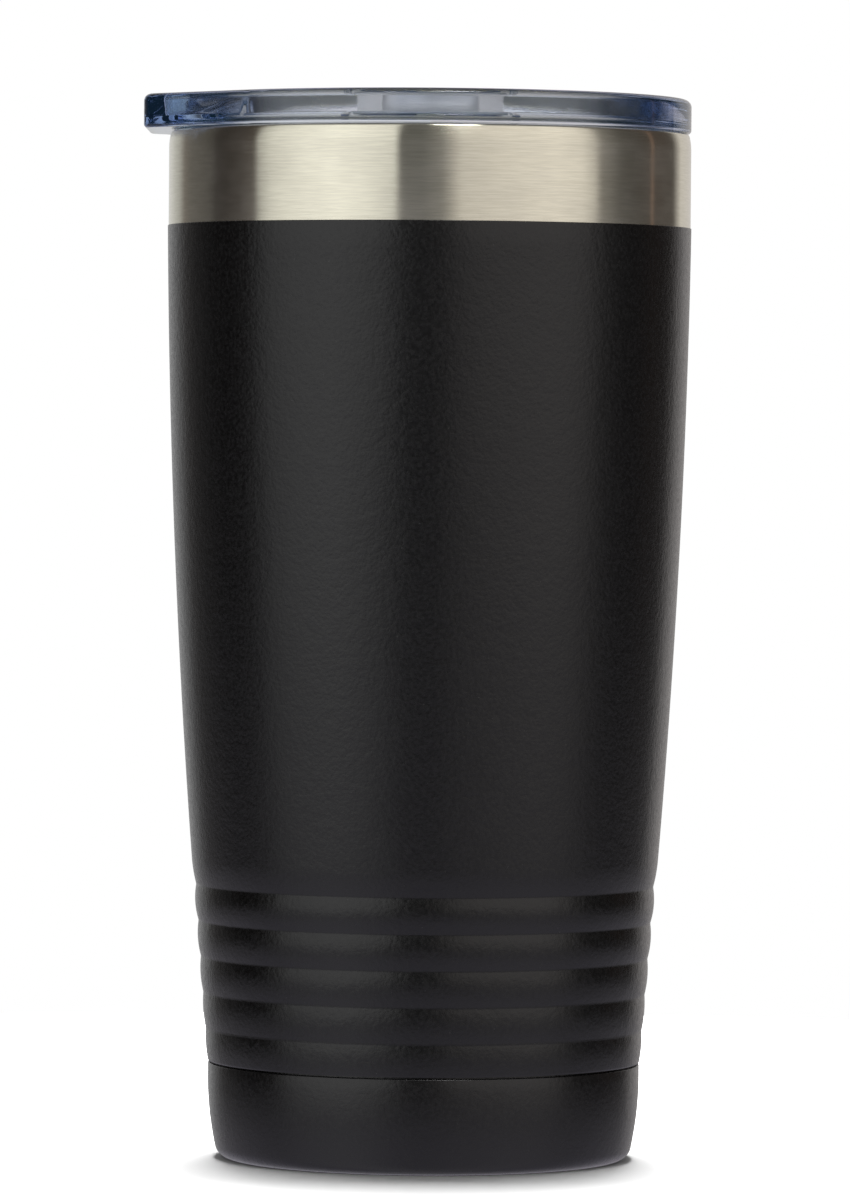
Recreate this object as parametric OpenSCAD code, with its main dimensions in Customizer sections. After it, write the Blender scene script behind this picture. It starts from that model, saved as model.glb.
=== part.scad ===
// Double-wall vacuum tumbler with a push-on clear lid and a sliding drink cover.
// The origin is at the centre of the base, +Z is up, the drinking opening is towards -Y and the
// thumb tab is on -X.

/* [Cup] */
// Diameter across the bare steel band at the mouth
band_d = 85.7; // [84:0.1:88]
// Height of the rim above the table
rim_z = 168.4; // [166:0.1:176]
// Height where the powder coat ends and the bare band starts
coat_top_z = 153; // [148:0.5:158]
// Diameter that the smooth wall line reaches at the uppermost groove
waist_d = 75.98; // [75.5:0.02:77]
// Inward lean of the wall just under the band, in mm per mm
wall_lean = 0.0113; // [0.005:0.0005:0.02]
// Distance from the outer face of the shell to the inner face of the liner
wall_gap = 3.05; // [2.6:0.05:4]

/* [Grip rings] */
// Number of bulging rings
ring_count = 5; // [3:1:5]
// Height of the uppermost groove
ring_top_z = 44.85; // [42:0.05:46]
// Height from one groove to the next
ring_pitch = 5.9; // [5:0.1:6]
// Diameter in the uppermost groove
ring_top_d = 75.16; // [74.6:0.02:75.8]
// Bulge of the uppermost ring
ring_bulge = 0.36; // [0.2:0.02:0.6]
// How much less each lower ring bulges
ring_bulge_step = 0.05; // [0:0.01:0.08]

/* [Base] */
// Diameter of the base cap at the seam
base_d = 70.96; // [70:0.02:72]
// Height of the seam between the shell and the base cap
seam_z = 16; // [14:0.1:18]
// Open gap of the seam
seam_gap = 0.3; // [0.2:0.05:0.6]
// Height where the straight collar of the cap starts to curve in
collar_z = 13.5; // [12.5:0.1:14]
// Radius of the cap's long inward curve
cap_curve_r = 53; // [45:0.5:80]
// Radius of the rounded bottom edge
foot_r = 2.45; // [2:0.05:5]
// Wall of the base cap
cap_t = 0.98; // [0.8:0.02:1.2]
// Depth of the recess inside the foot ring
foot_recess = 0.8; // [0.4:0.1:1.2]
// Width of the flat foot ring
foot_ring_w = 3; // [2:0.1:5]

/* [Sheet and film thickness] */
// Outer shell sheet
shell_t = 0.5; // [0.4:0.05:0.6]
// Inner liner sheet
liner_t = 0.45; // [0.4:0.05:0.6]
// Powder coat film
coat_t = 0.13; // [0.08:0.01:0.2]
// Copper foil on the liner
foil_t = 0.05; // [0.02:0.01:0.1]

/* [Inside the wall] */
// Height of the drinking floor
floor_z = 13.5; // [13.4:0.1:14.5]
// Corner radius of the drinking floor
floor_corner_r = 5.5; // [4:0.1:6]
// Height where the liner tube is welded to its bottom
liner_end_z = 20; // [19.8:0.1:22]
// Height of the underside of the outer bottom
outer_bottom_z = 9; // [8.8:0.1:9.2]
// Lower end of the shell's neck inside the base cap
neck_end_z = 7; // [6.8:0.1:7.4]
// Foil's lower and upper edges
foil_z = [30, 150];

/* [Lid] */
// Total height with the lid on
total_h = 174.05; // [173.5:0.05:180]
// Distance from the axis to the tip of the thumb tab
tab_reach = 46.6; // [45:0.1:49]
// Half width of the thumb tab between the centres of its corners
tab_half_w = 12; // [9:0.5:14]
// Corner radius of the thumb tab
tab_corner_r = 4; // [3:0.1:5]
// Radius of the flange's upper edge
edge_r = 1.2; // [0.5:0.1:1.4]
// Radius of the flange's lower edge
low_edge_r = 0.6; // [0.3:0.1:1.4]
// Radius of the recess in the lid, at the top
recess_top_r = 39.85; // [39.3:0.05:40.4]
// Radius of the recess where its wall turns in towards the floor
recess_knee_r = 38.9; // [38.5:0.1:39.1]
// Radius of the recess at its floor
recess_floor_r = 37.4; // [37:0.1:37.6]
// Thickness of the lid's floor
lid_floor_t = 2; // [1.8:0.1:2.2]
// Top of the lid's floor below the flange underside
lid_floor_drop = 0.5; // [0.4:0.1:0.8]
// Depth that the plug reaches below the flange
plug_depth = 11.5; // [11:0.1:13]
// Inner radius of the plug
plug_in_r = 36; // [35:0.1:36.2]

/* [Drink opening and slider] */
// Centre of the drinking opening from the axis
slot_x = 27.5; // [26.5:0.1:28]
// Width of the drinking opening along the slide
slot_w = 9; // [8:0.5:9]
// Length of the drinking opening across the slide
slot_l = 22; // [16:0.5:22]
// Travel of the slider from open to closed
travel = 14; // [13:0.5:14]
// Length of the slider plate
slider_l = 40; // [39.5:0.5:40]
// Width of the slider plate
slider_w = 25; // [24:0.5:25]
// Thickness of the slider plate
slider_t = 1.4; // [1.4:0.1:2.2]
// Height of the thumb ridge above the plate
ridge_h = 2; // [2:0.1:3.2]

/* [Hidden] */
$fn = 96;
over = 1;

band_r = band_d / 2;
coat_r_top = band_r + coat_t;
waist_r = waist_d / 2;
base_r = base_d / 2;
smooth_h = coat_top_z - ring_top_z;
wall_bow = (coat_r_top - waist_r - wall_lean * smooth_h) / pow(smooth_h, 2);
groove_drop = waist_r - ring_top_d / 2;
ease_h = 4.5;

wall_steps = 24;
ease_steps = 6;
ring_steps = 8;
arc_steps = 8;

// Rounded top edges of the shell and the liner, where they are welded
rim_round = 0.5;
shoulder_r = 11;
shoulder_z = rim_z - 2.8;
weld_r = band_r - 1.8;
liner_in_r = band_r - wall_gap;

// Neck of the shell inside the base cap, and the clearance of that slip fit
slip = 0.05;
neck_r = base_r - cap_t - slip;
skirt_r = neck_r - shell_t - slip;
neck_clear = 0.5;

// Vacuum port and getter, between the two bottoms
port_r = 1;
bead_r = 4;
bead_sag = [0.9, 1];
dimple_r = 8;
dimple_h = 1.2;
dimple_slope = 3;
getter_r = 4;
getter_t = 1;
getter_x = 15;
clip_wall = 0.45;
clip_floor = 0.15;
clip_window_r = 3;
clip_tab = [4, 16, 0.3];

// Lid
flange_z = rim_z + 0.1;
plug_z = flange_z - plug_depth;
lid_floor_top = flange_z - lid_floor_drop;
lid_floor_under = lid_floor_top - lid_floor_t;
plug_upper_r = liner_in_r - 0.6;
plug_lower_r = liner_in_r - 0.8;
plug_lead = 1;
groove_z = [flange_z - 7.1, flange_z - 2.9];
groove_r = liner_in_r - 2.1;
tab_x = tab_reach - tab_corner_r;
tab_root_a = 138;
tab_root_r = band_r - 0.85;
tab_lean_a = 134.9;
wall_lap = 0.6;
tab_pocket_x = tab_reach - 4.6;
tab_pocket_z = flange_z + 1.9;
recess_knee_z = flange_z + 1.05;
pocket_root = [27, 26.5];
slide_a = -90;
slot_corner_r = 4;
vent_r = 1.25;
vent_x = -27;
rail_w = 1.2;
rail_x = [-20.5, 31.5];
rail_h = 1;
rail_gap = 0.3;

// Gasket
gasket_side = 0.15;
gasket_in_r = groove_r + 0.3;
gasket_body_r = liner_in_r - 0.6;
gasket_rib_r = liner_in_r - 0.1;
rib_half = 0.55;
rib_tip = 0.1;

// Slider
float_gap = 0.15;
plate_z = lid_floor_top + float_gap;
plate_corner_r = 5;
ridge = [5, 16];
ridge_x = -13;
ridge_corner_r = 2;
groove_n = 3;
groove_pitch = 1.6;
scallop_r = 0.6;
leg_span = 9.6;
leg_l = 2.8;
leg_w = 4.6;
leg_split = 1.6;
guide_clear = 0.2;
guide_w = leg_w + 2 * guide_clear;
guide_l = leg_span + 2 * guide_clear + travel;
barb_w = 6.2;
barb_h = 1;

// Points on an arc about [cx, cz], from angle a0 to angle a1
function arc(cx, cz, r, a0, a1, n = arc_steps) =
    [for (i = [0:n]) let (a = a0 + (a1 - a0) * i / n) [cx + r * cos(a), cz + r * sin(a)]];

function steps(a, b, n) = [for (i = [0:n]) a + (b - a) * i / n];
function flip(list) = [for (i = [len(list) - 1:-1:0]) list[i]];

// Smooth line that the outer wall follows from the band down, ignoring the rings
function wall_r(z) =
    let (u = max(0, coat_top_z - z)) coat_r_top - wall_lean * u - wall_bow * pow(u, 2);

// Straight line through the grooves
function groove_line_r(z) =
    base_r + (ring_top_d / 2 - base_r) * (z - seam_z) / (ring_top_z - seam_z);

// Upper and lower ends of ring i; the lowest ring ends at the seam
function ring_hi(i) = ring_top_z - ring_pitch * i;
function ring_lo(i) = i == ring_count - 1 ? seam_z : ring_hi(i + 1);

function ring_r(z, i) =
    let (t = (z - ring_lo(i)) / (ring_hi(i) - ring_lo(i)))
    groove_line_r(z) + 4 * (ring_bulge - ring_bulge_step * i) * t * (1 - t);

// The wall turns in to the first groove over ease_h
function eased_r(z) =
    wall_r(z) - groove_drop * pow(max(0, 1 - (z - ring_top_z) / ease_h), 2);

// Outer face of the coat from the band down to the seam, as [r, z]
function coat_line() = concat(
    [for (z = steps(coat_top_z, ring_top_z + ease_h, wall_steps)) [wall_r(z), z]],
    [for (i = [1:ease_steps]) let (z = ring_top_z + ease_h * (1 - i / ease_steps)) [eased_r(z), z]],
    [for (i = [0:ring_count - 1]) for (k = [1:ring_steps])
        let (z = ring_hi(i) + (ring_lo(i) - ring_hi(i)) * k / ring_steps) [ring_r(z, i), z]]
);

function inset(line, d) = [for (p = line) [p[0] - d, p[1]]];

// Inner face of the liner, from the rim's corner down to the weld at its bottom
function liner_line() = concat(
    [[liner_in_r, rim_z - rim_round]],
    [for (z = steps(coat_top_z, liner_end_z, wall_steps)) [wall_r(z) - coat_t - wall_gap, z]]
);
liner_end_r = wall_r(liner_end_z) - coat_t - wall_gap;

// Outer face of the cap: a straight collar, a long curve and the rounded foot
foot_lean = [for (i = 0, a = 12; i < 8; i = i + 1, a = asin((collar_z - foot_r * (1 - sin(a)))
    / cap_curve_r)) a][7];
cap_curve_end = foot_r * (1 - sin(foot_lean));
function cap_curve(z) = base_r - pow(collar_z - z, 2) / (2 * cap_curve_r);
foot_c = cap_curve(cap_curve_end) - foot_r * cos(foot_lean);

function cap_line(d) = concat(
    [[base_r - d, seam_z - seam_gap]],
    [for (z = steps(collar_z, cap_curve_end, arc_steps)) [cap_curve(z) - d, z]],
    arc(foot_c, foot_r, foot_r - d, -foot_lean, -90)
);

// Outline of a rounded rectangle
function rounded(w, h, r) = [
    for (q = [0:3])
        let (cx = (q == 0 || q == 3 ? 1 : -1) * (w / 2 - r), cy = (q < 2 ? 1 : -1) * (h / 2 - r))
        each arc(cx, cy, r, 90 * q, 90 * q + 90, 6)
];

module outer_shell() {
    outer = inset(coat_line(), coat_t);
    neck_step_z = seam_z + shell_t;
    round_a = asin((rim_z - shoulder_z - rim_round) / (shoulder_r - rim_round));
    shoulder_c = band_r - shoulder_r;
    round_c = shoulder_c + (shoulder_r - rim_round) * cos(round_a);
    lip = concat(
        [[weld_r, rim_z]],
        arc(round_c, rim_z - rim_round, rim_round, 90, round_a),
        arc(shoulder_c, shoulder_z, shoulder_r, round_a * 3 / 4, 0, 3)
    );
    lip_in = concat(
        arc(shoulder_c, shoulder_z, shoulder_r - shell_t, 0, round_a, 3),
        [[round_c, rim_z - shell_t - slip], [weld_r, rim_z - shell_t - slip]]
    );
    neck = [[neck_r, seam_z], [neck_r, neck_end_z],
            [neck_r - shell_t, neck_end_z], [neck_r - shell_t, neck_step_z]];
    inner = [for (p = flip(inset(outer, shell_t))) if (p[1] > neck_step_z) p];
    color("silver") rotate_extrude() polygon(concat(lip, outer, neck,
        [[groove_line_r(neck_step_z) - coat_t - shell_t, neck_step_z]], inner, lip_in));
}

module powder_coat() {
    line = coat_line();
    color([0.1, 0.1, 0.105]) rotate_extrude() polygon(concat(line, flip(inset(line, coat_t))));
}

module base_cap() {
    ring_in_r = foot_c - foot_ring_w;
    in_top = seam_z - seam_gap;
    inside = concat(
        [[0, foot_recess + cap_t], [ring_in_r, foot_recess + cap_t], [ring_in_r + foot_recess, cap_t]],
        flip([for (p = cap_line(cap_t)) if (p[1] < cap_curve_end) p]),
        [[base_r - cap_t, neck_end_z - neck_clear], [base_r - cap_t, in_top]]
    );
    under = [[ring_in_r, 0], [ring_in_r - foot_recess, foot_recess], [0, foot_recess]];
    color([0.13, 0.125, 0.13]) rotate_extrude() polygon(concat(inside, cap_line(0), under));
}

module inner_liner() {
    in = liner_line();
    outer = [for (p = flip(in)) if (p[1] < shoulder_z) [p[0] + liner_t, p[1]]];
    lip = concat(
        [[liner_in_r + liner_t, rim_z - rim_round], [liner_in_r + rim_round, rim_z - liner_t],
         [weld_r, rim_z - liner_t], [weld_r, rim_z]],
        arc(liner_in_r + rim_round, rim_z - rim_round, rim_round, 90, 180)
    );
    color("gainsboro") rotate_extrude() polygon(concat(outer, lip, in));
}

module inner_bottom() {
    corner_z = floor_z + floor_corner_r;
    corner_c = liner_end_r - floor_corner_r;
    color("lightgrey") rotate_extrude() polygon(concat(
        [[0, floor_z]],
        arc(corner_c, corner_z, floor_corner_r, -90, 0),
        [[liner_end_r, liner_end_z], [liner_end_r + liner_t, liner_end_z]],
        arc(corner_c, corner_z, floor_corner_r + liner_t, 0, -90),
        [[0, floor_z - liner_t]]
    ));
}

module foil_wrap() {
    line = [for (z = steps(foil_z[1], foil_z[0], wall_steps))
        [wall_r(z) - coat_t - wall_gap + liner_t + slip, z]];
    color([0.72, 0.45, 0.2]) rotate_extrude()
        polygon(concat(inset(line, -foil_t), flip(line)));
}

module outer_bottom() {
    top = outer_bottom_z + shell_t;
    round_r = 1;
    dimple_z = outer_bottom_z + dimple_h;
    color("darkgray") rotate_extrude() polygon(concat(
        [[port_r, dimple_z], [dimple_r - dimple_slope, dimple_z], [dimple_r, outer_bottom_z]],
        arc(skirt_r - round_r - shell_t, outer_bottom_z - round_r, round_r, 90, 0),
        [[skirt_r - shell_t, neck_end_z], [skirt_r, neck_end_z]],
        arc(skirt_r - round_r - shell_t, outer_bottom_z - round_r, round_r + shell_t, 0, 90),
        [[dimple_r, top], [dimple_r - dimple_slope, dimple_z + shell_t], [port_r, dimple_z + shell_t]]
    ));
}

module port_seal() {
    under = outer_bottom_z + dimple_h;
    color([0.25, 0.35, 0.3]) rotate_extrude() polygon([
        [0, under - bead_sag[1]], [bead_r / 2, under - bead_sag[0]], [bead_r, under],
        [port_r, under], [port_r, under + shell_t], [0, under + shell_t]
    ]);
}

module getter() {
    color("dimgray") translate([getter_x, 0, floor_z - liner_t - getter_t - clip_floor])
        cylinder(h = getter_t, r = getter_r);
}

module getter_clip() {
    cup_h = getter_t + 2 * clip_floor;
    cup_z = floor_z - liner_t - cup_h;
    color("darkgray") translate([getter_x, 0, cup_z]) difference() {
        union() {
            cylinder(h = cup_h, r = getter_r + slip + clip_wall);
            translate([-clip_tab[0] / 2, -clip_tab[1] / 2, cup_h - clip_tab[2]]) cube(clip_tab);
        }
        translate([0, 0, clip_floor]) cylinder(h = cup_h, r = getter_r + slip);
        translate([0, 0, -over]) cylinder(h = cup_h, r = clip_window_r);
    }
}

// Flange, recess wall, floor and plug as one turned profile
module lid_turned() {
    top_c = total_h - edge_r;
    profile = concat(
        [[0, lid_floor_top], [recess_floor_r, lid_floor_top],
         [recess_knee_r, recess_knee_z], [recess_top_r, total_h]],
        arc(band_r - edge_r, top_c, edge_r, 90, 0, 5),
        arc(band_r - low_edge_r, flange_z + low_edge_r, low_edge_r, 0, -90, 5),
        [[plug_upper_r, flange_z], [plug_upper_r, groove_z[1]],
         [groove_r, groove_z[1]], [groove_r, groove_z[0]],
         [plug_lower_r, groove_z[0]], [plug_lower_r, plug_z + plug_lead],
         [plug_lower_r - plug_lead / 2, plug_z], [plug_in_r, plug_z],
         [plug_in_r, lid_floor_under], [0, lid_floor_under]]
    );
    rotate_extrude() polygon(profile);
}

// Thumb tab: runs out from the flange to two rounded corners
module tab_block() {
    root = [tab_root_r * cos(tab_root_a), tab_root_r * sin(tab_root_a)];
    side = concat([root], arc(-tab_x, tab_half_w, tab_corner_r, tab_lean_a, 180, 6));
    difference() {
        translate([0, 0, flange_z]) linear_extrude(total_h - flange_z)
            polygon(concat(side, [for (p = flip(side)) [p[0], -p[1]]]));
        translate([0, 0, flange_z - over])
            cylinder(h = total_h - flange_z + 2 * over, r = recess_top_r + wall_lap);
    }
}

// Openings in the lid's floor for the drink and the slider's legs, along +X
module floor_cuts() {
    translate([slot_x, 0, lid_floor_under - over])
        linear_extrude(lid_floor_t + 2 * over) polygon(rounded(slot_w, slot_l, slot_corner_r));
    translate([-leg_span / 2 - guide_clear, -guide_w / 2, lid_floor_under - over])
        cube([guide_l, guide_w, lid_floor_t + 2 * over]);
    translate([vent_x, 0, lid_floor_under - over])
        cylinder(h = lid_floor_t + 2 * over, r = vent_r);
}

// Low walls that the slider runs between, along +X
module rails() {
    for (side = [-1, 1])
        translate([rail_x[0], side * (slider_w / 2 + rail_gap + rail_w / 2) - rail_w / 2,
            lid_floor_top - slip])
            cube([rail_x[1] - rail_x[0], rail_w, rail_h + slip]);
}

module lid_body() {
    pocket = [[-tab_pocket_x, tab_half_w], [-pocket_root[0], pocket_root[1]],
              [-pocket_root[0], -pocket_root[1]], [-tab_pocket_x, -tab_half_w]];
    color([0.72, 0.8, 0.85, 0.45]) difference() {
        union() {
            lid_turned();
            tab_block();
            rotate([0, 0, slide_a]) rails();
        }
        translate([0, 0, tab_pocket_z]) linear_extrude(total_h) polygon(pocket);
        rotate([0, 0, slide_a]) floor_cuts();
    }
}

module lid_gasket() {
    z0 = groove_z[0] + gasket_side;
    z1 = groove_z[1] - gasket_side;
    function rib(z) = [[gasket_body_r, z - rib_half], [gasket_rib_r, z - rib_tip],
                       [gasket_rib_r, z + rib_tip], [gasket_body_r, z + rib_half]];
    pitch = (z1 - z0) / 2;
    color([0.92, 0.93, 0.93]) rotate_extrude() polygon(concat(
        [[gasket_in_r, z0], [gasket_body_r, z0]],
        rib(z0 + pitch / 2), rib(z1 - pitch / 2),
        [[gasket_body_r, z1], [gasket_in_r, z1]]
    ));
}

module slider() {
    top_z = plate_z + slider_t;
    color([0.78, 0.86, 0.9, 0.6]) rotate([0, 0, slide_a]) union() {
        translate([0, 0, plate_z]) linear_extrude(slider_t)
            polygon(rounded(slider_l, slider_w, plate_corner_r));
        difference() {
            translate([ridge_x, 0, top_z - slip]) linear_extrude(ridge_h + slip)
                polygon(rounded(ridge[0], ridge[1], ridge_corner_r));
            for (i = [0:groove_n - 1])
                translate([ridge_x + (i - (groove_n - 1) / 2) * groove_pitch, -ridge[1] / 2 - over,
                    top_z + ridge_h + scallop_r / 3])
                    rotate([-90, 0, 0]) cylinder(h = ridge[1] + 2 * over, r = scallop_r, $fn = 24);
        }
        for (end = [-1, 1]) translate([end * (leg_span - leg_l) / 2 - leg_l / 2, 0, 0]) {
            barb_top = lid_floor_under - float_gap;
            difference() {
                union() {
                    translate([0, -leg_w / 2, barb_top - barb_h])
                        cube([leg_l, leg_w, plate_z - barb_top + barb_h + slip]);
                    translate([0, -barb_w / 2, barb_top - barb_h]) cube([leg_l, barb_w, barb_h]);
                }
                translate([-over, -leg_split / 2, barb_top - barb_h - over])
                    cube([leg_l + 2 * over, leg_split, plate_z - barb_top + barb_h + over]);
            }
        }
    }
}

outer_shell();
powder_coat();
base_cap();
inner_liner();
inner_bottom();
foil_wrap();
outer_bottom();
port_seal();
getter();
getter_clip();
lid_body();
lid_gasket();
slider();
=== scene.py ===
"""Looks of the insulated tumbler with lid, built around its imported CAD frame."""

import math

import bmesh
import bpy
from mathutils import Matrix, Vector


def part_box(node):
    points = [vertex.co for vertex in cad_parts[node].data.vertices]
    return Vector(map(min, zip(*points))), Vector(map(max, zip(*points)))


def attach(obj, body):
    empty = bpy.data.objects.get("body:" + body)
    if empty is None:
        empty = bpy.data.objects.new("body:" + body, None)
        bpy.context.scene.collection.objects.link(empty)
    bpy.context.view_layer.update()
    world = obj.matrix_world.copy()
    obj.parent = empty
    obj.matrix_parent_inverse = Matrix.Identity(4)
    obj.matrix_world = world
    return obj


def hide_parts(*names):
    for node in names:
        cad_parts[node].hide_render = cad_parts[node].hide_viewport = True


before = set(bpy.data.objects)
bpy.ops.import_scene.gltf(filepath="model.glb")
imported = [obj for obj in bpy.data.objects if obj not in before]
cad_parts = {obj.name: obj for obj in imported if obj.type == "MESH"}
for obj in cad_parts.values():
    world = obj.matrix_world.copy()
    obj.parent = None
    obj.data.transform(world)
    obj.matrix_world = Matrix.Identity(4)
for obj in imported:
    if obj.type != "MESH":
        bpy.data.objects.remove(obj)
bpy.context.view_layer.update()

MM = 0.001
SEGMENTS = 288      # round a turned piece
SHARP = math.radians(35)

# ---- sizes in millimetres, the same as the CAD design's ----
RIM_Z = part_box("outer_shell")[1].z / MM
TOTAL_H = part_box("lid_body")[1].z / MM
BAND_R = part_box("lid_body")[1].x / MM
TAB_REACH = -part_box("lid_body")[0].x / MM
COAT_TOP_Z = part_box("powder_coat")[1].z / MM
SEAM_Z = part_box("powder_coat")[0].z / MM
CAP_TOP_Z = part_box("base_cap")[1].z / MM
BASE_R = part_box("base_cap")[1].x / MM

COAT_T = 0.13
SHELL_T = 0.5
LINER_T = 0.45
NECK_GAP = 0.05
NECK_END_Z = 7.0
WALL_GAP = 3.05
LINER_R = BAND_R - WALL_GAP

WALL_LEAN = 0.0113
WAIST_R = 37.99
RING_COUNT = 5
RING_TOP_Z = 44.85
RING_PITCH = 5.9
RING_TOP_R = 37.58
RING_BULGE = 0.36
RING_BULGE_STEP = 0.05
EASE_H = 4.5
GROOVE_SOFT = 0.22
GROOVE_FILL = 0.022

COLLAR_Z = 13.5
CAP_CURVE_R = 53.0
CAP_T = 0.98
CAP_WALL_Z = 6.5     # the cap's inner wall is straight above this
FOOT_R = 2.45
FOOT_RING_W = 3.0
FOOT_RECESS = 0.8

FLOOR_Z = 13.5
FLOOR_CORNER_R = 5.5
LINER_END_Z = 20.0

RIM_ROUND = 0.5
SHOULDER_R = 11.0
SHOULDER_Z = RIM_Z - 2.8
WELD_R = BAND_R - 1.8

FLANGE_Z = RIM_Z + 0.1
EDGE_R = 1.2
LOW_EDGE_R = 0.6
TAB_CORNER = 4.0
TAB_HALF = 12.0
TAB_LEAN = math.radians(134.9)
RECESS_TOP_R = 39.85
RECESS_FLOOR_R = 37.4
KNEE_R = 38.9
POCKET_R = 39.1
POCKET_END = 1.3      # extra thickness of the pocket's end wall
LID_FLOOR_TOP = FLANGE_Z - 0.5
LID_FLOOR_UNDER = LID_FLOOR_TOP - 2.0
POCKET_Z = FLANGE_Z + 1.9
TOP_LAND = 2.0        # inset of the flat between the pocket's edge and the rim
KNEE_Z = FLANGE_Z + 1.05
PLUG_Z = FLANGE_Z - 11.5
PLUG_IN_R = 36.0
PLUG_UPPER_R = LINER_R - 0.6
PLUG_LOWER_R = LINER_R - 0.8
GROOVE_LOW = FLANGE_Z - 7.1
GROOVE_HIGH = FLANGE_Z - 2.9
GROOVE_R = LINER_R - 2.1

SLIDE_TURN = -90.0   # the slider opens towards the front
SLOT_X, SLOT_W, SLOT_L = 27.5, 9.0, 22.0
RAIL_W, RAIL_H, RAIL_GAP = 1.2, 1.0, 0.3
RAIL_START, RAIL_END = -20.5, 31.5
VENT_X, VENT_R = -27.0, 1.25
TRAVEL = 14.0
PLATE_L, PLATE_W, PLATE_T = 40.0, 25.0, 1.4
PLATE_Z = LID_FLOOR_TOP + 0.15
RIDGE_X, RIDGE_L, RIDGE_W, RIDGE_H = -13.0, 5.0, 16.0, 2.0
LEG_SPAN, LEG_L, LEG_W, LEG_SPLIT = 9.6, 2.8, 4.6, 1.6
BARB_W, BARB_H = 6.2, 1.0
GUIDE_CLEAR = 0.2
SUPPORT = 0.12       # a rounded corner has one more point this far past its curve, to keep the flats flat


# ---------------------------------------------------------------- outlines
def arc(cx, cz, r, start, end, n=8):
    """Points on an arc, angles in degrees."""
    angles = [math.radians(start + (end - start) * i / n) for i in range(n + 1)]
    return [(cx + r * math.cos(a), cz + r * math.sin(a)) for a in angles]


def steps(a, b, n):
    return [a + (b - a) * i / n for i in range(n + 1)]


def soften(corners, n=5, support=SUPPORT):
    """An outline whose corners (r, z, radius) become curves, with a point beside each to keep flats flat."""
    out = []
    for i, corner in enumerate(corners):
        r, z = corner[:2]
        radius = corner[2] if len(corner) > 2 else 0
        if not radius or i in (0, len(corners) - 1):
            out.append((r, z))
            continue
        legs = []
        for other in (corners[i - 1], corners[i + 1]):
            dr, dz = other[0] - r, other[1] - z
            length = math.hypot(dr, dz)
            legs.append((dr / length, dz / length, min(radius, 0.45 * length), length))
        (ar, az, at, a_len), (br, bz, bt, b_len) = legs
        if at + support < 0.5 * a_len:
            out.append((r + ar * (at + support), z + az * (at + support)))
        for k in range(n + 1):
            t = k / n
            wa, wb = at * (1 - t) ** 2, bt * t ** 2
            out.append((r + ar * wa + br * wb, z + az * wa + bz * wb))
        if bt + support < 0.5 * b_len:
            out.append((r + br * (bt + support), z + bz * (bt + support)))
    return out


def wall_r(z):
    """The smooth outer wall line, ignoring the rings."""
    u = max(0.0, COAT_TOP_Z - z)
    smooth_h = COAT_TOP_Z - RING_TOP_Z
    top = BAND_R + COAT_T
    bow = (top - WAIST_R - WALL_LEAN * smooth_h) / smooth_h ** 2
    return top - WALL_LEAN * u - bow * u * u


def groove_line_r(z):
    return BASE_R + (RING_TOP_R - BASE_R) * (z - SEAM_Z) / (RING_TOP_Z - SEAM_Z)


def ring_r(z):
    """The wall below the first groove: bulging rings with a slightly softened groove between them."""
    highs = [RING_TOP_Z - RING_PITCH * i for i in range(RING_COUNT)] + [SEAM_Z]
    i = max(k for k in range(RING_COUNT) if z <= highs[k] + 1e-9)
    t = (z - highs[i + 1]) / (highs[i] - highs[i + 1])
    bulge = 4 * (RING_BULGE - RING_BULGE_STEP * i) * t * (1 - t)
    return groove_line_r(z) + bulge


def coat_r(z):
    """Outer face of the coat at any height."""
    if z > RING_TOP_Z:
        drop = (WAIST_R - RING_TOP_R) * max(0.0, 1 - (z - RING_TOP_Z) / EASE_H) ** 2
        r = wall_r(z) - drop
    else:
        r = ring_r(z)
    for i in range(RING_COUNT):
        off = abs(z - (RING_TOP_Z - RING_PITCH * i))
        if off < GROOVE_SOFT:
            r += GROOVE_FILL * (1 - off / GROOVE_SOFT) ** 2
    return r


def coat_heights():
    """Heights down the wall, close together where it curves."""
    grooves = [RING_TOP_Z - RING_PITCH * i for i in range(RING_COUNT)]
    heights = steps(COAT_TOP_Z, RING_TOP_Z + EASE_H, 24) + steps(RING_TOP_Z + EASE_H, RING_TOP_Z, 12)
    for high, low in zip(grooves, grooves[1:] + [SEAM_Z]):
        heights += steps(high, low, 18)
        heights += [high + GROOVE_SOFT * k for k in (-1, -0.6, -0.3, 0.3, 0.6, 1)]
    return sorted({round(z, 4) for z in heights}, reverse=True)


# ---------------------------------------------------------------- mesh building
def mark_edges(bm):
    """Shades the faces smooth and keeps the sharp edges sharp."""
    for face in bm.faces:
        face.smooth = True
    for edge in bm.edges:
        edge.smooth = edge.calc_face_angle(0) < SHARP


def smooth_piece(name, bm):
    """Turns a bmesh in millimetres into a smooth-shaded object."""
    bmesh.ops.remove_doubles(bm, verts=bm.verts, dist=1e-5)
    bmesh.ops.recalc_face_normals(bm, faces=bm.faces)
    bmesh.ops.scale(bm, vec=(MM, MM, MM), verts=bm.verts)
    mark_edges(bm)
    mesh = bpy.data.meshes.new(name)
    bm.to_mesh(mesh)
    bm.free()
    piece = bpy.data.objects.new(name, mesh)
    bpy.context.scene.collection.objects.link(piece)
    return piece


def bridge(bm, lower, upper):
    """Quads between two closed loops of the same count."""
    n = len(lower)
    for i in range(n):
        bm.faces.new((lower[i], lower[(i + 1) % n], upper[(i + 1) % n], upper[i]))


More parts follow.
